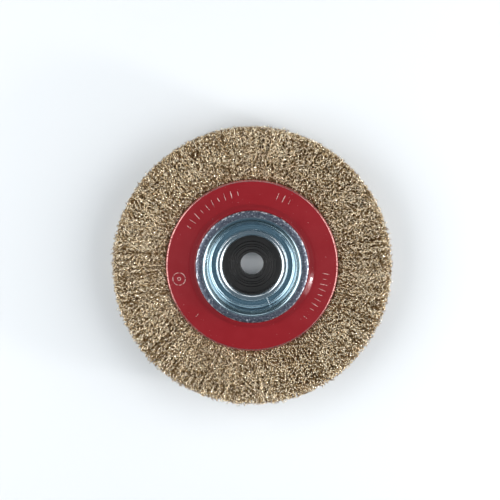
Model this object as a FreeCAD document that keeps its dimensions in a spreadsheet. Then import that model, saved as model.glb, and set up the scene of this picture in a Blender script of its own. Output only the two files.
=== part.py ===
import FreeCAD, Part
import math
import os

import Sketcher

# A 150 mm crimped-wire wheel for a bench grinder, with its set of reducing bushes nested in the bore.
# Millimetres. The origin is the centre of the wheel and +Z is its axis, out of the front face.
# The wheel lies flat: the rear face of the wire fill is the lowest thing on it.
#
# Every piece is a turned or pressed ring, so each one is an outline in the XZ plane (sketch x is
# the radius, sketch y is the height) revolved about the Z axis. An outline is written once, for
# the front of the wheel. A rear piece is the same outline, turned over about the X axis.

DRIVING_DIMENSIONS = (
    ("wheel_diameter", 150.0, "over the wire tips"),
    ("face_width", 25.0, "across the wire fill at the rim"),
    ("tip_flat_radius", 71.0, "where the flared face of the fill levels out"),
    ("tip_corner", 1.0, "worn corner of the fill at the rim"),
    ("rows", 5.0, "rows of wire side by side"),
    ("root_radius", 27.4, "inner radius of the wire fill, round the sleeve"),
    ("fill_gap", 0.1, "slack between the fill and the side plates"),
    ("core_radius", 29.4, "middle of the rod that the wires fold round"),
    ("core_rod_radius", 1.1, "half the thickness of that rod"),
    ("plate_diameter", 94.0, "outside diameter of a side plate"),
    ("plate_hole_radius", 26.3, "hole that the sleeve passes through"),
    ("plate_gauge", 1.0, "side plate sheet"),
    ("plate_seat", 8.6, "height of the plate's flat seat under the rolled lip"),
    ("plate_seat_radius", 31.6, "where the seat ends"),
    ("plate_step", 2.2, "how far the plate steps down beyond its seat, at 45 degrees"),
    ("plate_fall", 0.8, "how far the dished annulus falls from the step to the rim"),
    ("plate_rim_depth", 1.8, "height of the plate's turned-down rim"),
    ("plate_rim_round", 1.3, "outer radius of the turned-down rim"),
    ("sleeve_bore", 50.0, "inside diameter of the hub sleeve"),
    ("sleeve_gauge", 1.2, "hub sleeve wall"),
    ("hub_length", 24.0, "over the rolled lips, where the spindle flanges clamp"),
    ("lip_diameter", 60.8, "outside diameter of a rolled lip"),
    ("lip_inner_round", 1.8, "radius at the mouth of the sleeve"),
    ("lip_outer_round", 2.2, "radius at the back of the lip"),
    ("cup_gauge", 1.0, "bore cup sheet"),
    ("cup_mouth", 10.0, "height of the cup's open edge"),
    ("cup_mouth_wall", 0.87, "thickness of the cup's edge, thinned where it was trimmed"),
    ("cup_skirt", 1.4, "height of the band that grips the sleeve"),
    ("cup_floor", 2.0, "height of the cup's floor"),
    ("cup_floor_radius", 22.7, "radius of the floor"),
    ("press_gap", 0.03, "drawn gap between pieces that are pressed together"),
    ("bore_diameter", 32.0, "arbor hole"),
    ("bore_wall", 1.0, "wall of the arbor tube"),
    ("bore_rim_radius", 19.4, "outside radius of the bead round the arbor hole"),
    ("bore_rim_height", 3.2, "height of the top of that bead"),
    ("tube_end", 11.0, "how far the arbor tube reaches behind the middle of the wheel"),
    ("stop_lip", 0.65, "how far the tube's end turns in, as a stop for the bushes"),
    ("collar_wall", 1.0, "wall of the rear cup's collar"),
    ("collar_end", 9.0, "how far that collar reaches"),
    ("bush_length", 6.0, "length of every reducing bush"),
    ("bush_clearance", 0.05, "radial clearance of a bush in the next size up"),
    ("bush_edge", 0.35, "rounded edges of a bush"),
    ("bush_hole_large", 25.4, "hole of the largest bush"),
    ("bush_hole_second", 22.2, "hole of the second bush"),
    ("bush_hole_third", 20.0, "hole of the third bush"),
    ("bush_hole_fourth", 16.0, "hole of the fourth bush"),
    ("bush_hole_small", 12.7, "hole of the smallest bush, for a half-inch spindle"),
)

ROW_NAMES = ("rear", "rear_middle", "middle", "front_middle", "front")

# The node of each bush, the hole that it sits in, and its own hole.
BUSHES = (
    ("reducing_bush_25", "bore_diameter", "bush_hole_large"),
    ("reducing_bush_22", "bush_hole_large", "bush_hole_second"),
    ("reducing_bush_20", "bush_hole_second", "bush_hole_third"),
    ("reducing_bush_16", "bush_hole_third", "bush_hole_fourth"),
    ("reducing_bush_13", "bush_hole_fourth", "bush_hole_small"),
)

UPRIGHT = FreeCAD.Placement()
TURNED_OVER = FreeCAD.Placement(FreeCAD.Vector(), FreeCAD.Rotation(FreeCAD.Vector(1, 0, 0), 180))

doc = FreeCAD.newDocument("wire_wheel")
dims = doc.addObject("Spreadsheet::Sheet", "Dims")
for row, (alias, millimetres, meaning) in enumerate(DRIVING_DIMENSIONS, start=1):
    dims.set(f"A{row}", alias)
    dims.set(f"B{row}", str(millimetres))
    dims.set(f"C{row}", meaning)
    dims.setAlias(f"B{row}", alias)
doc.recompute()

sub_parts = []


def number(expression):
    """What an expression of the sheet's cells comes to now, to start a sketch from."""
    return float(dims.evalExpression(expression))


def origin_plane(body, role):
    return next(plane for plane in body.Origin.OriginFeatures if plane.Role == role)


def dimension(sketch, constraint, name, expression):
    """Adds a dimension to the sketch and binds it to the sheet."""
    sketch.renameConstraint(sketch.addConstraint(constraint), name)
    sketch.setExpression(f"Constraints.{name}", expression)


def place_point(sketch, geometry, end, name, radial, axial):
    """Dimensions a point's radius and height from the sketch's origin."""
    across = Sketcher.Constraint("DistanceX", -1, 1, geometry, end, number(radial))
    along = Sketcher.Constraint("DistanceY", -1, 1, geometry, end, number(axial))
    dimension(sketch, across, f"{name}_radius", radial)
    dimension(sketch, along, f"{name}_height", axial)


def corner_arc(before, corner, after, radius):
    """The arc that rounds a corner, the points where it starts and ends, and whether it turns left."""
    towards = (before - corner).normalize()
    away = (after - corner).normalize()
    half_angle = towards.getAngle(away) / 2
    start = corner + towards * (radius / math.tan(half_angle))
    end = corner + away * (radius / math.tan(half_angle))
    centre = corner + (towards + away).normalize() * (radius / math.sin(half_angle))
    turns_left = away.cross(towards).z > 0
    first, last = (start, end) if turns_left else (end, start)
    from_angle = math.atan2(first.y - centre.y, first.x - centre.x)
    to_angle = math.atan2(last.y - centre.y, last.x - centre.x)
    if to_angle < from_angle:
        to_angle += 2 * math.pi
    circle = Part.Circle(centre, FreeCAD.Vector(0, 0, 1), radius)
    return Part.ArcOfCircle(circle, from_angle, to_angle), start, end, turns_left


def draw_outline(sketch, outline):
    """Draws a closed outline of straight sides, with a true arc at each corner that has a radius.

    A vertex is (radius, height) or (radius, height, rounding), each an expression of the sheet.
    """
    corners = [FreeCAD.Vector(number(vertex[0]), number(vertex[1]), 0) for vertex in outline]
    count = len(corners)
    leaving = list(corners)
    reaching = list(corners)
    arcs = {}
    for i, vertex in enumerate(outline):
        if len(vertex) == 3:
            arc, reaching[i], leaving[i], turns_left = corner_arc(
                corners[i - 1], corners[i], corners[(i + 1) % count], number(vertex[2])
            )
            arcs[i] = (sketch.addGeometry(arc), turns_left)
    sides = [
        sketch.addGeometry(Part.LineSegment(leaving[i], reaching[(i + 1) % count]))
        for i in range(count)
    ]
    for i, vertex in enumerate(outline):
        name = f"corner_{i + 1}"
        side_in, side_out = sides[i - 1], sides[i]
        if i in arcs:
            arc, turns_left = arcs[i]
            arc_in, arc_out = (1, 2) if turns_left else (2, 1)
            corner = sketch.addGeometry(Part.Point(corners[i]), True)
            sketch.addConstraint(Sketcher.Constraint("Tangent", side_in, 2, arc, arc_in))
            sketch.addConstraint(Sketcher.Constraint("Tangent", arc, arc_out, side_out, 1))
            sketch.addConstraint(Sketcher.Constraint("PointOnObject", corner, 1, side_in))
            sketch.addConstraint(Sketcher.Constraint("PointOnObject", corner, 1, side_out))
            place_point(sketch, corner, 1, name, vertex[0], vertex[1])
            rounding = Sketcher.Constraint("Radius", arc, number(vertex[2]))
            dimension(sketch, rounding, f"{name}_round", vertex[2])
        else:
            sketch.addConstraint(Sketcher.Constraint("Coincident", side_in, 2, side_out, 1))
            place_point(sketch, side_out, 1, name, vertex[0], vertex[1])


def turned_piece(label, outline, placement=UPRIGHT, channel=None):
    """A ring with the given outline. A channel is a round tunnel inside it: radius, height, bore."""
    body = doc.addObject("PartDesign::Body", label)
    body.Label = label
    sketch = body.newObject("Sketcher::SketchObject", f"{label}_outline")
    sketch.AttachmentSupport = [(origin_plane(body, "XZ_Plane"), "")]
    sketch.MapMode = "FlatFace"
    draw_outline(sketch, outline)
    if channel:
        radial, axial, radius = channel
        centre = FreeCAD.Vector(number(radial), number(axial), 0)
        circle = sketch.addGeometry(Part.Circle(centre, FreeCAD.Vector(0, 0, 1), number(radius)))
        place_point(sketch, circle, 3, "channel", radial, axial)
        dimension(sketch, Sketcher.Constraint("Radius", circle, number(radius)), "channel_bore", radius)
    revolution = body.newObject("PartDesign::Revolution", f"{label}_turned")
    revolution.Profile = sketch
    revolution.ReferenceAxis = (sketch, ["V_Axis"])
    revolution.Angle = 360
    body.Placement = placement
    sub_parts.append(body)
    return body


def side_plate(label, placement):
    """Pressed steel plate: a flat seat under the lip, a 45-degree step, a dished annulus and a
    turned-down rim that holds the wires together where they leave the plates."""
    rim = "Dims.plate_diameter / 2"
    gauge = "Dims.plate_gauge"
    seat = "Dims.plate_seat"
    dish = "(Dims.plate_seat - Dims.plate_step)"
    rim_top = f"({dish} - Dims.plate_fall)"
    step_foot = "(Dims.plate_seat_radius + Dims.plate_step)"
    # At a 45-degree bend the inner corner sits nearer the axis by the gauge times tan(22.5 deg).
    inset = "(Dims.plate_gauge * (sqrt(2) - 1))"
    turned_piece(
        label,
        (
            ("Dims.plate_hole_radius", seat),
            ("Dims.plate_hole_radius", f"{seat} - {gauge}"),
            (f"Dims.plate_seat_radius - {inset}", f"{seat} - {gauge}", "0.8"),
            (f"{step_foot} - {inset}", f"{dish} - {gauge}", "1.8"),
            (f"{rim} - {gauge}", f"{rim_top} - {gauge}", f"Dims.plate_rim_round - {gauge}"),
            (f"{rim} - {gauge}", f"{rim_top} - Dims.plate_rim_depth"),
            (rim, f"{rim_top} - Dims.plate_rim_depth"),
            (rim, rim_top, "Dims.plate_rim_round"),
            (step_foot, dish, "0.8"),
            ("Dims.plate_seat_radius", seat, "1.8"),
        ),
        placement,
    )


def hub_sleeve():
    """Steel sleeve through both plates, with each end rolled out and down on to a plate's seat."""
    mouth = "Dims.sleeve_bore / 2"
    outside = "Dims.sleeve_bore / 2 + Dims.sleeve_gauge"
    lip = "Dims.lip_diameter / 2"
    lip_inside = "Dims.lip_diameter / 2 - Dims.sleeve_gauge"
    top = "Dims.hub_length / 2"
    under = "(Dims.hub_length / 2 - Dims.sleeve_gauge)"
    inner_round = "Dims.lip_inner_round"
    outer_round = "Dims.lip_outer_round"
    turned_piece(
        "hub_sleeve",
        (
            (mouth, f"-{top}", inner_round),
            (lip, f"-{top}", outer_round),
            (lip, "-Dims.plate_seat"),
            (lip_inside, "-Dims.plate_seat"),
            (lip_inside, f"-{under}", f"{outer_round} - Dims.sleeve_gauge"),
            (outside, f"-{under}", f"{inner_round} - Dims.sleeve_gauge"),
            (outside, under, f"{inner_round} - Dims.sleeve_gauge"),
            (lip_inside, under, f"{outer_round} - Dims.sleeve_gauge"),
            (lip_inside, "Dims.plate_seat"),
            (lip, "Dims.plate_seat"),
            (lip, top, outer_round),
            (mouth, top, inner_round),
        ),
    )


def cup_side(grip):
    """The outside of a bore cup from its floor's underside up and back down its inner wall."""
    underside = "Dims.cup_floor - Dims.cup_gauge"
    foot = "Dims.cup_floor_radius + Dims.cup_gauge"
    return (
        (foot, underside, "1.5"),
        (grip, "Dims.cup_mouth - Dims.cup_skirt"),
        (grip, "Dims.cup_mouth", "0.3"),
        (f"{grip} - Dims.cup_mouth_wall", "Dims.cup_mouth", "0.3"),
        ("Dims.cup_floor_radius", "Dims.cup_floor", "0.7"),
    )


def bore_cups():
    """Two pressed cups fill the sleeve. The front one runs on as the arbor tube, and the rear one
    has a collar round that tube."""
    grip = "(Dims.sleeve_bore / 2 - Dims.press_gap)"
    bore = "Dims.bore_diameter / 2"
    tube = "Dims.bore_diameter / 2 + Dims.bore_wall"
    collar = "Dims.bore_diameter / 2 + Dims.bore_wall + Dims.press_gap"
    underside = "Dims.cup_floor - Dims.cup_gauge"
    stop = "Dims.bore_diameter / 2 - Dims.stop_lip"
    turned_piece(
        "front_bore_cup",
        (
            *cup_side(grip),
            ("Dims.bore_rim_radius", "Dims.cup_floor", "0.3"),
            ("Dims.bore_rim_radius", "Dims.bore_rim_height", "0.8"),
            (bore, "Dims.bore_rim_height", "1.8"),
            (bore, "-Dims.tube_end + Dims.bore_wall"),
            (stop, "-Dims.tube_end + Dims.bore_wall"),
            (stop, "-Dims.tube_end"),
            (tube, "-Dims.tube_end", "0.4"),
            (tube, underside, "0.4"),
        ),
    )
    turned_piece(
        "rear_bore_cup",
        (
            *cup_side(grip),
            (f"{collar} + Dims.collar_wall", "Dims.cup_floor", "0.5"),
            (f"{collar} + Dims.collar_wall", "Dims.collar_end", "0.4"),
            (collar, "Dims.collar_end"),
            (collar, underside, "1.5"),
        ),
        TURNED_OVER,
    )


def wire_rows():
    """The rows of crimped wire and the rod ring that each row folds round.

    The fill is squeezed between the plates and flares out beyond them. Its half thickness at each
    radius is shared out evenly between the rows.
    """
    rim = "Dims.wheel_diameter / 2"
    plate_rim = "Dims.plate_diameter / 2"
    cover = "(Dims.plate_gauge + Dims.fill_gap)"
    dish = "Dims.plate_seat - Dims.plate_step"
    neck = "Dims.plate_seat_radius + Dims.plate_step - Dims.plate_gauge"
    rim_edge = f"{dish} - Dims.plate_fall - Dims.plate_rim_depth - Dims.fill_gap"
    half_thickness = (
        ("Dims.root_radius", f"Dims.plate_seat - {cover}"),
        ("Dims.plate_seat_radius - Dims.plate_gauge", f"Dims.plate_seat - {cover}"),
        (neck, f"{dish} - {cover}"),
        (f"{plate_rim} - Dims.plate_gauge - Dims.fill_gap", rim_edge),
        (f"{plate_rim} + Dims.fill_gap", rim_edge),
        ("Dims.tip_flat_radius", "Dims.face_width / 2"),
        (f"{rim} - Dims.tip_corner", "Dims.face_width / 2"),
        (rim, "Dims.face_width / 2 - Dims.tip_corner"),
    )
    root_pitch = f"2 * (Dims.plate_seat - {cover}) / Dims.rows"
    for place, name in enumerate(ROW_NAMES):
        lower = f"(2 * {place} / Dims.rows - 1)"
        upper = f"(2 * ({place} + 1) / Dims.rows - 1)"
        middle = f"({place} + 0.5 - Dims.rows / 2)"
        outline = [(radial, f"{lower} * ({half})") for radial, half in half_thickness]
        outline += [(radial, f"{upper} * ({half})") for radial, half in reversed(half_thickness)]
        rod = ("Dims.core_radius", f"{middle} * {root_pitch}", "Dims.core_rod_radius")
        turned_piece(f"{name}_wire_row", outline, channel=rod)
        core_ring(f"{name}_core_ring", rod)


def core_ring(label, rod):
    """A ring of round rod, as a torus at the given radius and height."""
    radial, axial, radius = rod
    ring = doc.addObject("Part::Torus", label)
    ring.Label = label
    ring.setExpression("Radius1", radial)
    ring.setExpression("Radius2", radius)
    ring.setExpression("Placement.Base.z", axial)
    sub_parts.append(ring)


def reducing_bushes():
    """Plain moulded rings, nested one inside the next, all sitting on the arbor tube's stop lip."""
    seat = "-Dims.tube_end + Dims.bore_wall"
    top = f"{seat} + Dims.bush_length"
    for label, housing, hole in BUSHES:
        inside = f"Dims.{hole} / 2"
        outside = f"Dims.{housing} / 2 - Dims.bush_clearance"
        turned_piece(
            label,
            (
                (inside, seat, "Dims.bush_edge"),
                (outside, seat, "Dims.bush_edge"),
                (outside, top, "Dims.bush_edge"),
                (inside, top, "Dims.bush_edge"),
            ),
        )


side_plate("front_side_plate", UPRIGHT)
side_plate("rear_side_plate", TURNED_OVER)
hub_sleeve()
bore_cups()
wire_rows()
reducing_bushes()
doc.recompute()

for item in doc.Objects:
    if "Invalid" in item.State or "Error" in item.State:
        raise RuntimeError(f"{item.Label} did not build: {item.State}")
for piece in sub_parts:
    if piece.Shape.isNull() or not piece.Shape.isValid() or len(piece.Shape.Solids) != 1:
        raise RuntimeError(f"{piece.Label} is not one valid solid")

os.makedirs("parts", exist_ok=True)
for piece in sub_parts:
    piece.Shape.exportStep(f"parts/{piece.Label}.step")
    box = piece.Shape.optimalBoundingBox()
    print(
        f"{piece.Label}: {piece.Shape.Volume / 1000:.2f} cm3, "
        f"diameter {box.XLength:.2f}, height {box.ZMin:.2f} to {box.ZMax:.2f}"
    )
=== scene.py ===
"""Looks for a 150 mm crimped-wire wheel with red side plates, a zinc hub and nested bushes."""

import math

import bmesh
import bpy
import numpy as np
from mathutils import Matrix, Vector
from mathutils.bvhtree import BVHTree


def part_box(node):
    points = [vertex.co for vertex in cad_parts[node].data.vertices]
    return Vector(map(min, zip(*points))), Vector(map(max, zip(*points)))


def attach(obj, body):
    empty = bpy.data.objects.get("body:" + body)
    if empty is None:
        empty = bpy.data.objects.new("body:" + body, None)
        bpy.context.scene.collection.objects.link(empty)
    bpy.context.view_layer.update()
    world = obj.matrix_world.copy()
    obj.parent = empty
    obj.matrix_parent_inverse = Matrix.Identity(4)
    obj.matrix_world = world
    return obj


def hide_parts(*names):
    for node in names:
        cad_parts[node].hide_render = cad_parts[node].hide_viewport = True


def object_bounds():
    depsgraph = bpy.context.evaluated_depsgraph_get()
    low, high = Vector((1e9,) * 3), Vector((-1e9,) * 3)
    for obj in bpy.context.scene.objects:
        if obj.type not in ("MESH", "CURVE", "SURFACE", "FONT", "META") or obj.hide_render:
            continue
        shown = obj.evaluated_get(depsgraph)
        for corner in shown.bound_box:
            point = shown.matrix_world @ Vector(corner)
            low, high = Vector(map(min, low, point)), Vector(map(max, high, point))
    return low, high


MM = 0.001

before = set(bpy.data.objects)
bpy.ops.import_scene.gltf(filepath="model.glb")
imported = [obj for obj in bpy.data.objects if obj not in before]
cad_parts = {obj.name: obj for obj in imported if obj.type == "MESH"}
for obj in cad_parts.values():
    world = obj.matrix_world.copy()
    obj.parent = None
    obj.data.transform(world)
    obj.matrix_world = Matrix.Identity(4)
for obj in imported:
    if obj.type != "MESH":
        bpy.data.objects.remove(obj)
cad_low, cad_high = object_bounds()

# ---------------------------------------------------------------- sizes, read from the frame
plate_low, plate_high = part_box("front_side_plate")
_, sleeve_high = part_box("hub_sleeve")
_, fill_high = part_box("front_wire_row")
wheel_radius = fill_high.x
face_half = fill_high.z
plate_radius = plate_high.x
plate_rim_foot = plate_low.z
lip_radius = sleeve_high.x
crest = sleeve_high.z
floor_height = cad_low.z

# ---------------------------------------------------------------- zones of the zinc hub, by radius
BEAD_EDGE = 19.4 * MM                    # the bead round the arbor hole ends here
CUP_FLOOR = 21.2 * MM                    # middle of the cup's flat floor
CUP_FLOOR_HALF = 1.7 * MM
FOOT_PAINTED_HIGHLIGHT = 22.95 * MM                 # a painted highlight line and a painted shade line where the cup's cone rises from its floor
FOOT_PAINTED_HIGHLIGHT_HALF = 0.25 * MM
FOOT_PAINTED_SHADE = 23.45 * MM
FOOT_PAINTED_SHADE_HALF = 0.30 * MM
CONE_START = 23.6 * MM
CONE_END = 26.2 * MM
CONE_FADE = 0.6 * MM
LIP_START = lip_radius - 3.9 * MM        # the rolled lip is grey from here outwards
LIP_FADE = 0.6 * MM
LIP_EDGE = lip_radius - 0.8 * MM         # and polished in places from here
LIP_FLATTENING = 3.0                     # on the front, its slopes look this much less steep
SEAM_AZIMUTH = math.radians(-65.6)       # a weld seam across the floor of each cup
SEAM_START = 19.4 * MM
SEAM_END = 23.5 * MM
SEAM_HALF = 0.22 * MM
SEAM_CORE = 0.10 * MM                    # half of the width that is fully bright
SEAM_FADE = 0.3 * MM

# ---------------------------------------------------------------- the pressed step of the side plates
STEP_START = lip_radius + 0.7 * MM
STEP_END = lip_radius + 3.6 * MM
STEP_FADE = 0.8 * MM
STEP_FLATTENING = 14.0                   # the step looks this much less steep, all round
DENT_AZIMUTH = math.radians(-17)         # except near here, where it catches the light
DENT_REACH = 10.5 * MM                   # this far to each side of it
DENT_CORE = 3.0 * MM                     # and fully so within this
DENT_FLATTENING = 1.3

# ---------------------------------------------------------------- wire
WIRE_RADIUS = 0.17 * MM
WIRE_STEP = 0.36 * MM            # spacing of the points along a wire
SECTORS = 8                      # pieces round the wheel, so that no mesh is too large
FRONT_WIRES = 1450
OUTER_WIRES = 650
REAR_WIRES = 1000
RIM_WIRES = 7000

CRIMP_LENGTH = 2.6 * MM          # one full wave
CRIMP_DEPTH = 0.75 * MM          # half of the wave's width, in and out of the face
CRIMP_SWING = 0.90 * MM          # the same along the face, at most
LEAN = 0.035                     # how far wires lean sideways on their way out
WANDER = 0.007                   # and wander, in radians round the axis
LEVEL_WANDER = 0.45 * MM         # the same in and out of the face
PHASE_WANDER = 2.2               # how unevenly the crimp follows, in radians
AZIMUTH_KNOTS = 14               # how many turning points each of these has along a wire
LEVEL_KNOTS = 12
PHASE_KNOTS = 10

GRIP_START = plate_radius - 1 * MM         # the plates hold the crimp nearly flat inside it
GRIP_LENGTH = 3 * MM                       # and free it over this distance
GRIPPED_SHARE = 0.25                       # how much of the crimp is left where they hold it

TRIM_SHORT = 0.3 * MM                      # the wires are trimmed this far short of the wheel's radius
TRIM_SPREAD = 0.45 * MM
SHORTEST = 2.5 * MM                        # no wire ends shorter than this
STRAY_SHARE = 0.06                         # this share of them sticks out
STRAY_REACH = 1.3 * MM
LONGEST = 1.6 * MM                         # or sticks out more than this

fill_shoulder = plate_radius + 12 * MM     # layers that start outside it are seen from the rim

# Half thickness of the fill at a few radii: level under the plate's rim, then flaring out.
FILL_RADII = (plate_radius - 4 * MM, plate_radius, plate_radius + 9 * MM, 0.95 * wheel_radius, wheel_radius)
FILL_HALVES = (plate_rim_foot, plate_rim_foot, 0.66 * face_half, face_half, face_half)


def node_material(name, **values):
    """A material with one Principled shader, and that shader."""
    material = bpy.data.materials.new(name)
    material.use_nodes = True
    shader = material.node_tree.nodes["Principled BSDF"]
    for socket, value in values.items():
        shader.inputs[socket.replace("_", " ")].default_value = value
    return material, shader


WIRE_PAINTED_SHADES = (
    # name, colour, roughness: painted light and shade by depth, from the lit crests at the surface down to
    # the wire in the shade below
    ("wire_painted_lit_crest", (0.99, 0.86, 0.65, 1), 0.20),
    ("wire_painted_brass_mid", (0.69, 0.53, 0.32, 1), 0.27),
    ("wire_painted_dim_brass", (0.37, 0.24, 0.12, 1), 0.34),
    ("wire_shaded", (0.27, 0.155, 0.07, 1), 0.40),
    ("wire_painted_deep_shade", (0.24, 0.13, 0.05, 1), 0.50),
)
SHADE_STEP_DEPTH = 0.33 * MM         # depth from one painted shade step to the next
SHADE_STEP_SPREAD = 0.25 * MM        # how unevenly wires take them
TIP_SHARE = 0.30                 # at the rim, the depth below the tips counts by this share


def wire_materials():
    """The painted depth shades as materials: plain metal, so that millions of triangles need no baking."""
    made = []
    for name, colour, roughness in WIRE_PAINTED_SHADES:
        material, _ = node_material(name, Base_Color=colour, Metallic=1.0, Roughness=roughness)
        made.append(material)
    return made


def depth_painted_shade(rng, paths, from_tips):
    """Painted light and shade for each length of wire: lighter at the surface of the brush, darker below it.
    """
    middle = (paths[:, 1:] + paths[:, :-1]) / 2
    radius = np.hypot(middle[:, :, 0], middle[:, :, 1])
    if from_tips:
        depth = TIP_SHARE * (wheel_radius - radius)
    else:
        depth = np.interp(radius, FILL_RADII, FILL_HALVES) - np.abs(middle[:, :, 2])
    depth += rng.normal(0, SHADE_STEP_SPREAD, (len(paths), 1))
    return np.clip(depth / SHADE_STEP_DEPTH, 0, len(WIRE_PAINTED_SHADES) - 1).astype(int)


def smooth_noise(rng, count, points, knots):
    """One gently wandering curve per wire, about 1 high."""
    basis = np.zeros((knots, points))
    places = np.linspace(0, knots - 1, points)
    for knot in range(knots):
        near = np.clip(1 - np.abs(places - knot), 0, 1)
        basis[knot] = near * near * (3 - 2 * near)
    return rng.normal(size=(count, knots)) @ basis


def crimped_paths(rng, azimuths, levels, start, ends, points):
    """Centre lines of crimped wires, as an array of wires by points by 3.

    A wire runs outwards from the start radius at its own level: a share of the fill's half thickness,
    less a depth below that. Its crimp waves in and out of the face and sways along it.
    """
    shares, sinks = levels
    count = len(azimuths)
    along = np.linspace(0, 1, points)
    radius = start + (ends[:, None] - start) * along
    lean = rng.normal(0, LEAN, (count, 1))
    azimuth = azimuths[:, None] + lean * np.log(radius / plate_radius)
    azimuth += WANDER * smooth_noise(rng, count, points, AZIMUTH_KNOTS)
    height = shares[:, None] * np.interp(radius, FILL_RADII, FILL_HALVES)
    height -= np.sign(shares[:, None]) * sinks[:, None]
    height += LEVEL_WANDER * smooth_noise(rng, count, points, LEVEL_KNOTS)

    free = np.clip((radius - GRIP_START) / GRIP_LENGTH, GRIPPED_SHARE, 1)
    wave = CRIMP_LENGTH * rng.uniform(0.75, 1.25, (count, 1))
    phase = 2 * math.pi * (radius - start) / wave + rng.uniform(0, 2 * math.pi, (count, 1))
    phase += PHASE_WANDER * smooth_noise(rng, count, points, PHASE_KNOTS)
    height += CRIMP_DEPTH * free * rng.uniform(0.7, 1.2, (count, 1)) * np.cos(phase)
    swing = CRIMP_SWING * free * rng.uniform(-1, 1, (count, 1))
    sideways = swing * np.sin(phase + rng.normal(0, 0.5, (count, 1)))
    limit = face_half - WIRE_RADIUS
    height = np.clip(height, -limit, limit)

    across = np.stack([-np.sin(azimuth), np.cos(azimuth), np.zeros_like(azimuth)], axis=2)
    paths = np.stack([radius * np.cos(azimuth), radius * np.sin(azimuth), height], axis=2)
    return paths + across * sideways[:, :, None]


def tube_mesh(name, paths, radius, sides, shade_step):
    """One mesh of closed tubes, with a ring of corners at each point and a painted shade step for each
    length.
    """
    count, points, _ = paths.shape
    tangent = np.gradient(paths, axis=1)
    tangent /= np.linalg.norm(tangent, axis=2, keepdims=True)
    side = np.cross(tangent, (0.0, 0.0, 1.0))
    side /= np.linalg.norm(side, axis=2, keepdims=True)
    up = np.cross(side, tangent)
    turn = 2 * math.pi * np.arange(sides) / sides
    ring = np.cos(turn)[:, None] * side[:, :, None, :] + np.sin(turn)[:, None] * up[:, :, None, :]
    corners = (paths[:, :, None, :] + radius * ring).reshape(-1, 3)

    wire = np.arange(count)[:, None, None] * points * sides
    step = np.arange(points - 1)[None, :, None] * sides
    here = np.arange(sides)[None, None, :]
    after = (here + 1) % sides
    walls = np.stack(
        [wire + step + here, wire + step + after, wire + step + sides + after, wire + step + sides + here],
        axis=3,
    ).reshape(-1, 4)
    first = (wire[:, 0] + np.arange(sides)[None, ::-1]).reshape(-1, sides)
    last = (wire[:, 0] + (points - 1) * sides + np.arange(sides)[None, :]).reshape(-1, sides)

    loops = np.concatenate([walls.ravel(), first.ravel(), last.ravel()])
    totals = np.concatenate([np.full(len(walls), 4), np.full(2 * count, sides)])
    faces_shade_step = np.concatenate([np.repeat(shade_step.ravel(), sides), shade_step[:, 0], shade_step[:, -1]])
    mesh = bpy.data.meshes.new(name)
    mesh.vertices.add(len(corners))
    mesh.vertices.foreach_set("co", corners.astype(np.float32).ravel())
    mesh.loops.add(len(loops))
    mesh.loops.foreach_set("vertex_index", loops.astype(np.int32))
    mesh.polygons.add(len(totals))
    mesh.polygons.foreach_set("loop_start", np.concatenate([[0], np.cumsum(totals)[:-1]]).astype(np.int32))
    mesh.polygons.foreach_set("material_index", faces_shade_step.astype(np.int32))
    mesh.polygons.foreach_set("use_smooth", np.ones(len(totals), bool))
    mesh.update(calc_edges=True)
    mesh.validate()
    return mesh


def add_piece(name, mesh, materials):
    """A piece that rides on the wheel."""
    piece = bpy.data.objects.new(name, mesh)
    bpy.context.scene.collection.objects.link(piece)
    for material in materials:
        mesh.materials.append(material)
    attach(piece, "wheel")
    return piece


def wire_tips(rng, count):
    """Radii where wires end: trimmed nearly true, with a few stragglers."""
    trimmed = wheel_radius + rng.normal(-TRIM_SHORT, TRIM_SPREAD, count)
    strays = np.where(rng.random(count) < STRAY_SHARE, rng.uniform(0, STRAY_REACH, count), 0)
    return np.clip(trimmed + strays, wheel_radius - SHORTEST, wheel_radius + LONGEST)


def wire_layer(rng, name, count, levels, start, sides, replaced):
    """One layer of wires all round the wheel, as a piece for each sector."""
    azimuths = (np.arange(count) + rng.uniform(0, 1, count)) * 2 * math.pi / count
    ends = wire_tips(rng, count)
    points = int(round((wheel_radius - start) / WIRE_STEP)) + 1
    paths = crimped_paths(rng, azimuths, levels, start, ends, points)
    # Each length of wire gets a painted shade step by its depth in the brush.
    shade_step = depth_painted_shade(rng, paths, start > fill_shoulder)
    for sector in range(SECTORS):
        own = slice(count * sector // SECTORS, count * (sector + 1) // SECTORS)
        mesh = tube_mesh(f"{name}_{sector + 1}", paths[own], WIRE_RADIUS, sides, shade_step[own])
        piece = add_piece(f"{name}_{sector + 1}", mesh, wires)
        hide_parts(*replaced)


def near_face(rng, count, side, spread):
    """Levels of the wires in the outermost layer of a face: the crests of most reach the surface."""
    return np.full(count, side), CRIMP_DEPTH + rng.uniform(-0.2, 1, count) * spread


def all_through(rng, count):
    """Levels of wires spread evenly through the fill."""
    return rng.uniform(-0.98, 0.98, count), np.zeros(count)


PACKED_START = plate_radius - 6 * MM
PACKED_END = 0.955 * wheel_radius
PACKED_SHARE = 0.78              # of the fill's half thickness
PACKED_UNDER_PLATE = 0.9         # of that, where the plate covers it
PACKED_LUMPS = 0.22 * MM
PACKED_AROUND = 720
PACKED_ACROSS = 30
PACKED_RIM = 16


def packed_profile():
    """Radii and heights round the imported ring's section: out over the front face and back over the rear."""
    radii = np.linspace(PACKED_START, PACKED_END, PACKED_ACROSS)
    halves = np.interp(radii, FILL_RADII, FILL_HALVES) * PACKED_SHARE
    halves[radii < plate_radius] *= PACKED_UNDER_PLATE
    rim = np.linspace(halves[-1], -halves[-1], PACKED_RIM)[1:-1]
    front = np.stack([radii, halves], axis=1)
    edge = np.stack([np.full(len(rim), PACKED_END), rim], axis=1)
    rear = np.stack([radii[::-1], -halves[::-1]], axis=1)
    return np.concatenate([front, edge, rear])


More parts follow.
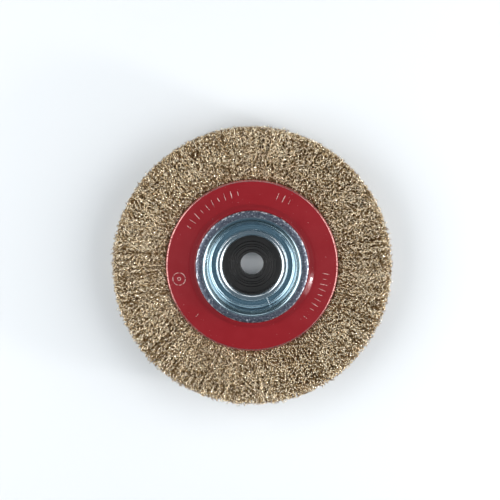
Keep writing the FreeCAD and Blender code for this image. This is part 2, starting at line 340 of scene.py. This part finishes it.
def packed_fill():
    """The tangle deeper in the fill, seen only between the wires: a lumpy dark ring."""
    rng = np.random.default_rng(7)
    profile = packed_profile()
    rows = len(profile)
    turn = 2 * math.pi * np.arange(PACKED_AROUND) / PACKED_AROUND
    lumps = rng.normal(0, PACKED_LUMPS, (PACKED_AROUND, rows, 2))
    radius = profile[None, :, 0] + lumps[:, :, 0]
    height = profile[None, :, 1] + lumps[:, :, 1]
    corners = np.stack(
        [radius * np.cos(turn)[:, None], radius * np.sin(turn)[:, None], height], axis=2
    ).reshape(-1, 3)
    here = np.arange(PACKED_AROUND)[:, None] * rows
    after = (np.arange(PACKED_AROUND)[:, None] + 1) % PACKED_AROUND * rows
    down = np.arange(rows)[None, :]
    down_next = (down + 1) % rows
    faces = np.stack([here + down, here + down_next, after + down_next, after + down], axis=2)
    mesh = bpy.data.meshes.new("packed_wire")
    mesh.from_pydata(corners.tolist(), [], faces.reshape(-1, 4).tolist())
    shadow = (0.17, 0.095, 0.04, 1)
    material, _ = node_material("wire_in_shadow", Base_Color=shadow, Metallic=0.4, Roughness=0.7)
    piece = add_piece("packed_wire", mesh, [material])
    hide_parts("front_middle_wire_row", "middle_wire_row", "rear_middle_wire_row")


wires = wire_materials()
generator = np.random.default_rng(20)
wire_layer(
    generator, "front_wires", FRONT_WIRES,
    near_face(generator, FRONT_WIRES, side=1.0, spread=0.5 * MM),
    start=plate_radius - 2.5 * MM, sides=4, replaced=["front_wire_row"],
)
wire_layer(
    generator, "front_outer_wires", OUTER_WIRES,
    near_face(generator, OUTER_WIRES, side=1.0, spread=0.8 * MM),
    start=plate_radius + 10 * MM, sides=4, replaced=["front_middle_wire_row"],
)
wire_layer(
    generator, "rear_wires", REAR_WIRES,
    near_face(generator, REAR_WIRES, side=-1.0, spread=0.5 * MM),
    start=plate_radius - 2.5 * MM, sides=3, replaced=["rear_wire_row"],
)
wire_layer(
    generator, "rim_wires", RIM_WIRES,
    all_through(generator, RIM_WIRES),
    start=wheel_radius - 6.5 * MM, sides=3, replaced=["middle_wire_row"],
)
packed_fill()

# ---------------------------------------------------------------- pressed marks on the side plates
MARK_RADIUS = 40.2 * MM
MARK_LENGTH = 4.4 * MM
SHORT_MARK = 0.62                 # every third stroke is this much of the full length
MARK_HALF_WIDTH = 0.22 * MM
THIN_MARK = 0.65                  # every second stroke is this much of the full width
MARK_RISE = 0.28 * MM
MARK_SINK = 0.12                  # its edges are sunk into the plate by this share of the rise
MARK_SLANT = math.radians(6)
# First and last stroke of each group, in degrees round the axis, and how many strokes it has.
MARK_GROUPS = ((101, 148, 10), (60, 70, 3), (-36, -6, 8), (222, 222, 1), (-44, -44, 1))
RING_AZIMUTH = math.radians(190)
RING_RADIUS = 3.4 * MM


def plate_surface():
    """A function that gives the front plate's height at a point of its face."""
    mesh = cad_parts["front_side_plate"].data
    tree = BVHTree.FromPolygons([v.co for v in mesh.vertices], [f.vertices for f in mesh.polygons])
    above = 2 * crest

    def height(x, y):
        hit, *_ = tree.ray_cast(Vector((x, y, above)), Vector((0, 0, -1)))
        return hit.z

    return height


def raised_line(bm, path, closed, height, half_width):
    """A low rounded ridge along a path on the plate; an open one tapers to nothing at its ends."""
    profile = [(math.cos(turn), math.sin(turn)) for turn in np.linspace(math.pi, 0, 7)]
    rows = []
    count = len(path)
    for index, (x, y) in enumerate(path):
        before, after = path[index - 1], path[(index + 1) % count]
        if not closed:
            before, after = path[max(index - 1, 0)], path[min(index + 1, count - 1)]
        ahead = Vector((after[0] - before[0], after[1] - before[1])).normalized()
        taper = 1.0 if closed else max(math.sin(math.pi * index / (count - 1)), 0.0) ** 0.4
        row = []
        for across, up in profile:
            offset = half_width * (0.25 + 0.75 * taper) * across
            px, py = x - ahead.y * offset, y + ahead.x * offset
            rise = MARK_RISE * (taper * up - MARK_SINK)
            row.append(bm.verts.new((px, py, height(px, py) + rise)))
        rows.append(row)
    if closed:
        rows.append(rows[0])
    for row, following in zip(rows, rows[1:]):
        for step in range(len(profile) - 1):
            bm.faces.new((row[step], row[step + 1], following[step + 1], following[step])).smooth = True


def circle_path(centre, radius, count):
    """Points round a circle."""
    turns = (2 * math.pi * step / count for step in range(count))
    return [(centre.x + radius * math.cos(turn), centre.y + radius * math.sin(turn)) for turn in turns]


def stroke_path(azimuth, index):
    """Points along one radial stroke: some are shorter, and all lean a little, by their index."""
    out = Vector((math.cos(azimuth), math.sin(azimuth)))
    slant = azimuth + MARK_SLANT * math.sin(2.4 * index + 1)
    lean = Vector((math.cos(slant), math.sin(slant)))
    length = MARK_LENGTH * (1.0 if index % 3 else SHORT_MARK)
    return [tuple(out * MARK_RADIUS + lean * place) for place in np.linspace(-0.5, 0.5, 9) * length]


def pressed_marks(name, turned_over, material):
    """Short strokes and a double ring pressed up from the plate: a plain pattern that says nothing."""
    height = plate_surface()
    bm = bmesh.new()
    for first, last, count in MARK_GROUPS:
        for index, degrees in enumerate(np.linspace(first, last, count)):
            half_width = MARK_HALF_WIDTH * (1.0 if index % 2 else THIN_MARK)
            raised_line(bm, stroke_path(math.radians(degrees), index), False, height, half_width)
    centre = Vector((math.cos(RING_AZIMUTH), math.sin(RING_AZIMUTH))) * MARK_RADIUS
    raised_line(bm, circle_path(centre, RING_RADIUS, 48), True, height, MARK_HALF_WIDTH)
    raised_line(bm, circle_path(centre, RING_RADIUS / 4, 16), True, height, MARK_HALF_WIDTH)
    bmesh.ops.recalc_face_normals(bm, faces=bm.faces)
    if turned_over:
        bmesh.ops.rotate(bm, verts=bm.verts, matrix=Matrix.Rotation(math.pi, 3, "Y"))
    mesh = bpy.data.meshes.new(name)
    bm.to_mesh(mesh)
    bm.free()
    add_piece(name, mesh, [material])


# ---------------------------------------------------------------- finishes of the CAD nodes that stay


def repaint(node, material):
    """Give a CAD node's slots a material, on the object, so that its mesh stays as it is."""
    mesh_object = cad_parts[node]
    for slot in mesh_object.material_slots:
        slot.link = "OBJECT"
        slot.material = material


def feed(tree, socket, value):
    """Link a socket to another node's output, or set its value."""
    if isinstance(value, bpy.types.NodeSocket):
        tree.links.new(value, socket)
    else:
        socket.default_value = value


def calculate(tree, operation, *values):
    """The result of a Math node."""
    node = tree.nodes.new("ShaderNodeMath")
    node.operation = operation
    for socket, value in zip(node.inputs, values):
        feed(tree, socket, value)
    return node.outputs[0]


def ramp(tree, value, low, high):
    """0 below low, 1 above high, smooth between; low above high turns it round."""
    node = tree.nodes.new("ShaderNodeMapRange")
    node.interpolation_type = "SMOOTHSTEP"
    feed(tree, node.inputs["Value"], value)
    node.inputs["From Min"].default_value = low
    node.inputs["From Max"].default_value = high
    return node.outputs["Result"]


def blend_colour(tree, factor, under, over):
    """One colour under another, which covers it by a factor."""
    node = tree.nodes.new("ShaderNodeMix")
    node.data_type = "RGBA"
    feed(tree, node.inputs["Factor"], factor)
    feed(tree, node.inputs[6], under)
    feed(tree, node.inputs[7], over)
    return node.outputs[2]


def noise(tree, place, size, detail=3.0, contrast=0.5):
    """Noise with features of about the given size in metres, from 0 to 1."""
    node = tree.nodes.new("ShaderNodeTexNoise")
    feed(tree, node.inputs["Vector"], place)
    node.inputs["Scale"].default_value = 1 / size
    node.inputs["Detail"].default_value = detail
    node.inputs["Roughness"].default_value = contrast
    return node.outputs["Fac"]


def ring_noise(tree, radius, size):
    """Noise that changes with the radius only: the fine lines that a lathe or a press leaves."""
    node = tree.nodes.new("ShaderNodeTexNoise")
    node.noise_dimensions = "1D"
    feed(tree, node.inputs["W"], calculate(tree, "DIVIDE", radius, size))
    node.inputs["Scale"].default_value = 1.0
    node.inputs["Detail"].default_value = 3.0
    return node.outputs["Fac"]


def bump(tree, height, strength, distance, under=None):
    """The normal of a surface with fine relief, on top of another normal if there is one."""
    node = tree.nodes.new("ShaderNodeBump")
    feed(tree, node.inputs["Height"], height)
    feed(tree, node.inputs["Strength"], strength)
    node.inputs["Distance"].default_value = distance
    if under:
        tree.links.new(under, node.inputs["Normal"])
    return node.outputs["Normal"]


def object_place(tree):
    """The position in the wheel's frame, the same as x, y and z, and the distance from the axis."""
    place = tree.nodes.new("ShaderNodeTexCoord").outputs["Object"]
    split = tree.nodes.new("ShaderNodeSeparateXYZ")
    tree.links.new(place, split.inputs[0])
    x, y, z = split.outputs
    squares = calculate(tree, "ADD", calculate(tree, "MULTIPLY", x, x), calculate(tree, "MULTIPLY", y, y))
    return place, (x, y, z), calculate(tree, "SQRT", squares)


def axes_at(tree, x, y, azimuth):
    """Distances along a radius of the wheel at an azimuth, and to either side of it."""
    cosine, sine = math.cos(azimuth), math.sin(azimuth)
    along = calculate(tree, "MULTIPLY_ADD", x, cosine, calculate(tree, "MULTIPLY", y, sine))
    aside = calculate(tree, "MULTIPLY_ADD", x, sine, calculate(tree, "MULTIPLY", y, -cosine))
    return along, calculate(tree, "ABSOLUTE", aside)


def zone(tree, radius, start, end, fade):
    """1 between two radii, 0 outside them, with a fade just inside each."""
    inside = ramp(tree, radius, start, start + fade)
    return calculate(tree, "MULTIPLY", inside, ramp(tree, radius, end, end - fade))


def ring_line(tree, radius, middle, half_width):
    """1 on a ring round the axis, fading to 0 on both sides of it."""
    distance = calculate(tree, "ABSOLUTE", calculate(tree, "SUBTRACT", radius, middle))
    return ramp(tree, distance, half_width, 0.4 * half_width)


def flattened(tree, normal, amount):
    """The normal of a surface whose slopes are less steep by an amount: 1 leaves it as it is."""
    stretch = tree.nodes.new("ShaderNodeCombineXYZ")
    stretch.inputs["X"].default_value = 1.0
    stretch.inputs["Y"].default_value = 1.0
    feed(tree, stretch.inputs["Z"], amount)
    flatter = tree.nodes.new("ShaderNodeVectorMath")
    flatter.operation = "MULTIPLY"
    feed(tree, flatter.inputs[0], normal)
    feed(tree, flatter.inputs[1], stretch.outputs[0])
    unit = tree.nodes.new("ShaderNodeVectorMath")
    unit.operation = "NORMALIZE"
    feed(tree, unit.inputs[0], flatter.outputs[0])
    return unit.outputs[0]


def softened_step(tree, normal, x, y, radius):
    """The pressed step round the hub flows softly into the plate, less so over a short stretch."""
    along, aside = axes_at(tree, x, y, DENT_AZIMUTH)
    near = ramp(tree, aside, DENT_REACH, DENT_CORE)
    there = calculate(tree, "MULTIPLY", near, ramp(tree, along, 0, MM))
    extra = calculate(tree, "MULTIPLY_ADD", there, DENT_FLATTENING - STEP_FLATTENING, STEP_FLATTENING - 1)
    step = zone(tree, radius, STEP_START, STEP_END + STEP_FADE, STEP_FADE)
    return flattened(tree, normal, calculate(tree, "MULTIPLY_ADD", extra, step, 1.0))


def enamel(name, worn_from, worn_to, worn_colour, bareness):
    """Red stove enamel: faint orange peel, cloudy tone, dust specks and paint worn on the edges.

    The paint is worn from one radius outwards, fully so from a second one. Bareness says how much of
    the steel shows there: 0 is chalky paint, 1 is bright metal.
    """
    dark_red, light_red, dust = (0.215, 0.007, 0.010, 1), (0.255, 0.011, 0.016, 1), (0.62, 0.40, 0.38, 1)
    material, shader = node_material(name, Specular_IOR_Level=0.6)
    tree = material.node_tree
    place, (x, y, _), radius = object_place(tree)
    clouds = noise(tree, place, 9 * MM, detail=4)
    specks = ramp(tree, noise(tree, place, 0.9 * MM, detail=2), 0.74, 0.78)
    edge = ramp(tree, radius, worn_from, worn_to)
    wear = calculate(tree, "MULTIPLY", edge, ramp(tree, noise(tree, place, 0.8 * MM, detail=4), 0.39, 0.49))
    colour = blend_colour(tree, clouds, dark_red, light_red)
    colour = blend_colour(tree, calculate(tree, "MULTIPLY", specks, 0.5), colour, dust)
    colour = blend_colour(tree, calculate(tree, "MULTIPLY", wear, 0.85), colour, worn_colour)
    tree.links.new(colour, shader.inputs["Base Color"])
    if bareness:
        tree.links.new(calculate(tree, "MULTIPLY", wear, bareness), shader.inputs["Metallic"])
    rough = calculate(tree, "MULTIPLY_ADD", clouds, 0.08, 0.20)
    rough = calculate(tree, "ADD", rough, calculate(tree, "MULTIPLY", specks, 0.3))
    tree.links.new(rough, shader.inputs["Roughness"])
    peel = bump(tree, noise(tree, place, 1.1 * MM, detail=3), 0.10, 0.2 * MM)
    dusty = bump(tree, specks, 0.25, 0.1 * MM, peel)
    tree.links.new(softened_step(tree, dusty, x, y, radius), shader.inputs["Normal"])
    return material


def weld_seam(tree, x, y, radius):
    """1 on the short seam across a cup's floor."""
    along, aside = axes_at(tree, x, y, SEAM_AZIMUTH)
    narrow = ramp(tree, aside, SEAM_HALF, SEAM_CORE)
    seam = calculate(tree, "MULTIPLY", narrow, ramp(tree, along, 0, MM))
    return calculate(tree, "MULTIPLY", seam, zone(tree, radius, SEAM_START, SEAM_END, SEAM_FADE))


def cup_colour(tree, radius, clouds, rings):
    """Blue-white zinc, a paler bead, a bluer floor, a greyer cone, and a painted highlight line and a painted
    shade line where the cone starts.
    """
    bluish, whitish, dark_ring_tone = (0.46, 0.58, 0.64, 1), (0.55, 0.66, 0.71, 1), (0.17, 0.26, 0.32, 1)
    layers = (
        # how much it covers, colour
        (ramp(tree, radius, BEAD_EDGE + 0.4 * MM, BEAD_EDGE - 0.4 * MM), (0.80, 0.83, 0.85, 1)),
        (ring_line(tree, radius, CUP_FLOOR, CUP_FLOOR_HALF), (0.56, 0.76, 0.86, 1)),
        (zone(tree, radius, CONE_START, CONE_END, CONE_FADE), (0.42, 0.52, 0.55, 1)),
        # Darker along some of the pressing rings.
        (calculate(tree, "MULTIPLY", ramp(tree, rings, 0.50, 0.36), 0.3), dark_ring_tone),
        # A painted highlight line, then a painted shade line, at the foot of the cone.
        (ring_line(tree, radius, FOOT_PAINTED_HIGHLIGHT, FOOT_PAINTED_HIGHLIGHT_HALF), (0.92, 0.95, 0.97, 1)),
        (ring_line(tree, radius, FOOT_PAINTED_SHADE, FOOT_PAINTED_SHADE_HALF), (0.09, 0.13, 0.16, 1)),
    )
    colour = blend_colour(tree, clouds, bluish, whitish)
    for cover, over in layers:
        colour = blend_colour(tree, cover, colour, over)
    return colour


def zinc():
    """Blue passivated zinc: pressing rings on the cups, a hammered grey lip where it was swaged over, with
    painted shade in the hollows of its hammering and painted glints on its high points and dents.
    """
    grey, pit_shade, fleck_glint = (0.13, 0.145, 0.185, 1), (0.05, 0.05, 0.07, 1), (0.70, 0.72, 0.77, 1)
    dent_glint, worn, weld = (0.80, 0.83, 0.88, 1), (0.70, 0.70, 0.74, 1), (0.85, 0.90, 0.92, 1)
    material, shader = node_material("zinc_plate", Metallic=1.0)
    tree = material.node_tree
    place, (x, y, z), radius = object_place(tree)
    clouds = noise(tree, place, 7 * MM, detail=4)
    rings = ring_noise(tree, radius, 0.30 * MM)
    peen = noise(tree, place, 1.0 * MM, detail=5, contrast=0.65)
    lip = ramp(tree, radius, LIP_START, LIP_START + LIP_FADE)
    painted_pit_shade = calculate(tree, "MULTIPLY", lip, ramp(tree, peen, 0.48, 0.40))
    glint_flecks = calculate(tree, "MULTIPLY", lip, ramp(tree, peen, 0.58, 0.68))
    lip_edge = ramp(tree, radius, LIP_EDGE, LIP_EDGE + 0.35 * MM)
    rubbed = ramp(tree, noise(tree, place, 1.8 * MM, detail=3), 0.46, 0.62)
    dents_and_glints = calculate(tree, "MULTIPLY", lip, ramp(tree, noise(tree, place, 2.0 * MM, detail=2), 0.62, 0.72))
    seam = weld_seam(tree, x, y, radius)

    colour = blend_colour(tree, lip, cup_colour(tree, radius, clouds, rings), grey)
    # Painted shade in the hollows of the hammering, painted glints on its high points and on its dents, whose
    # relief is real bump.
    colour = blend_colour(tree, calculate(tree, "MULTIPLY", painted_pit_shade, 0.85), colour, pit_shade)
    colour = blend_colour(tree, glint_flecks, colour, fleck_glint)
    colour = blend_colour(tree, calculate(tree, "MULTIPLY", dents_and_glints, 0.7), colour, dent_glint)
    colour = blend_colour(tree, calculate(tree, "MULTIPLY", lip_edge, rubbed), colour, worn)
    colour = blend_colour(tree, seam, colour, weld)
    tree.links.new(colour, shader.inputs["Base Color"])
    rough = calculate(tree, "MULTIPLY_ADD", rings, 0.16, 0.14)
    rough = calculate(tree, "ADD", rough, calculate(tree, "MULTIPLY", lip, 0.20))
    tree.links.new(rough, shader.inputs["Roughness"])
    turned = bump(tree, rings, 0.10, 0.05 * MM)
    hammered = bump(tree, peen, lip, 0.22 * MM, turned)
    dented = bump(tree, dents_and_glints, 0.4, 0.2 * MM, hammered)
    marked = bump(tree, seam, 0.5, 0.15 * MM, dented)
    front_lip = calculate(tree, "MULTIPLY", lip, ramp(tree, z, 0, MM))
    flattening = calculate(tree, "MULTIPLY_ADD", front_lip, LIP_FLATTENING - 1, 1.0)
    tree.links.new(flattened(tree, marked, flattening), shader.inputs["Normal"])
    return material


def moulded_plastic():
    """Black-brown moulded plastic: fine grain, flow marks and faint rings from the mould's turning."""
    black, brown = (0.0050, 0.0045, 0.0042, 1), (0.0130, 0.0100, 0.0085, 1)
    material, shader = node_material("moulded_plastic")
    tree = material.node_tree
    place, _, radius = object_place(tree)
    flow = noise(tree, place, 5 * MM, detail=4)
    tree.links.new(blend_colour(tree, flow, black, brown), shader.inputs["Base Color"])
    tree.links.new(calculate(tree, "MULTIPLY_ADD", flow, 0.25, 0.34), shader.inputs["Roughness"])
    grain = bump(tree, noise(tree, place, 0.25 * MM, detail=3), 0.20, 0.05 * MM)
    turned = bump(tree, ring_noise(tree, radius, 0.5 * MM), 0.20, 0.08 * MM, grain)
    tree.links.new(turned, shader.inputs["Normal"])
    return material


def drawn_steel():
    """Bright drawn rod with a light bloom of rust."""
    bright, rusty = (0.46, 0.45, 0.43, 1), (0.24, 0.12, 0.06, 1)
    material, shader = node_material("drawn_steel", Metallic=0.9)
    tree = material.node_tree
    place, _, _ = object_place(tree)
    rust = ramp(tree, noise(tree, place, 3 * MM, detail=5), 0.52, 0.66)
    tree.links.new(blend_colour(tree, rust, bright, rusty), shader.inputs["Base Color"])
    tree.links.new(calculate(tree, "MULTIPLY_ADD", rust, 0.35, 0.30), shader.inputs["Roughness"])
    scratched = bump(tree, noise(tree, place, 0.4 * MM, detail=3), 0.3, 0.08 * MM)
    tree.links.new(scratched, shader.inputs["Normal"])
    return material


RIM_WEAR_START = plate_radius - 1.25 * MM
RIM_WEAR_FULL = plate_radius - 1.05 * MM
MARK_WEAR_START = MARK_RADIUS - MARK_LENGTH
MARK_WEAR_FULL = MARK_RADIUS - 0.9 * MARK_LENGTH

red = enamel("red_enamel", RIM_WEAR_START, RIM_WEAR_FULL, (0.55, 0.27, 0.25, 1), bareness=0.9)
worn_red = enamel("worn_red_enamel", MARK_WEAR_START, MARK_WEAR_FULL, (0.72, 0.47, 0.43, 1), bareness=0)
plated = zinc()
plastic = moulded_plastic()
steel = drawn_steel()
for node in ("front_side_plate", "rear_side_plate"):
    repaint(node, red)
pressed_marks("front_pressed_marks", False, worn_red)
pressed_marks("rear_pressed_marks", True, worn_red)
for node in ("hub_sleeve", "front_bore_cup", "rear_bore_cup"):
    repaint(node, plated)
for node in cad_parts:
    if node.startswith("reducing_bush"):
        repaint(node, plastic)
    if node.endswith("core_ring"):
        repaint(node, steel)

# ---------------------------------------------------------------- floor, lights and camera
FLOOR_SIDE = 4.0
floor_mesh = bpy.data.meshes.new("floor")
floor_mesh.from_pydata(
    [(x * FLOOR_SIDE / 2, y * FLOOR_SIDE / 2, 0) for x, y in ((-1, -1), (1, -1), (1, 1), (-1, 1))],
    [], [(0, 1, 2, 3)],
)
floor = bpy.data.objects.new("floor", floor_mesh)
bpy.context.scene.collection.objects.link(floor)
floor.location.z = floor_height
floor_material, _ = node_material("pale_floor", Base_Color=(0.78, 0.79, 0.80, 1), Roughness=0.6)
floor_mesh.materials.append(floor_material)


def area_light(name, place, size, power):
    """A rectangular lamp that faces the wheel's centre."""
    data = bpy.data.lights.new(name, "AREA")
    data.shape = "RECTANGLE"
    data.size, data.size_y = size
    data.energy = power
    lamp = bpy.data.objects.new(name, data)
    bpy.context.scene.collection.objects.link(lamp)
    lamp.location = place
    lamp.rotation_euler = (-Vector(place)).to_track_quat("-Z", "Y").to_euler()


SOFTBOX_SIDE = 0.62
SOFTBOX_HEIGHT = 0.50
SOFTBOX_SIZE = (0.90, 0.85)
SOFTBOX_POWER = 7.2
area_light("left_softbox", (-SOFTBOX_SIDE, 0, SOFTBOX_HEIGHT), SOFTBOX_SIZE, SOFTBOX_POWER)
area_light("right_softbox", (SOFTBOX_SIDE, 0, SOFTBOX_HEIGHT), SOFTBOX_SIZE, SOFTBOX_POWER)
# A small lamp, low at the right, gives the glint on the pressed step.
area_light("low_lamp", (0.743, -0.227, 0.191), size=(0.10, 0.10), power=2.6)
area_light("top_softbox", (0, 0.75, 0.75), size=(0.6, 0.3), power=0.8)

# Faint blue light comes from all round.
world = bpy.data.worlds.new("studio")
world.use_nodes = True
sky = world.node_tree.nodes["Background"]
sky.inputs["Color"].default_value = (0.48, 0.78, 1.0, 1)
sky.inputs["Strength"].default_value = 0.15
bpy.context.scene.world = world
bpy.context.scene.view_settings.view_transform = "Standard"

CAMERA_DISTANCE = 0.600
CAMERA_TILT = math.radians(6)
CAMERA_LENS = 79.0
AIM = Vector((-1.1 * MM, 8.2 * MM, 0))
camera_data = bpy.data.cameras.new("camera")
camera_data.lens = CAMERA_LENS
camera_data.sensor_width = 36.0
camera = bpy.data.objects.new("camera", camera_data)
bpy.context.scene.collection.objects.link(camera)
camera.location = AIM + CAMERA_DISTANCE * Vector((0, math.sin(CAMERA_TILT), math.cos(CAMERA_TILT)))
camera.rotation_euler = (-CAMERA_TILT, 0, 0)
bpy.context.scene.camera = camera
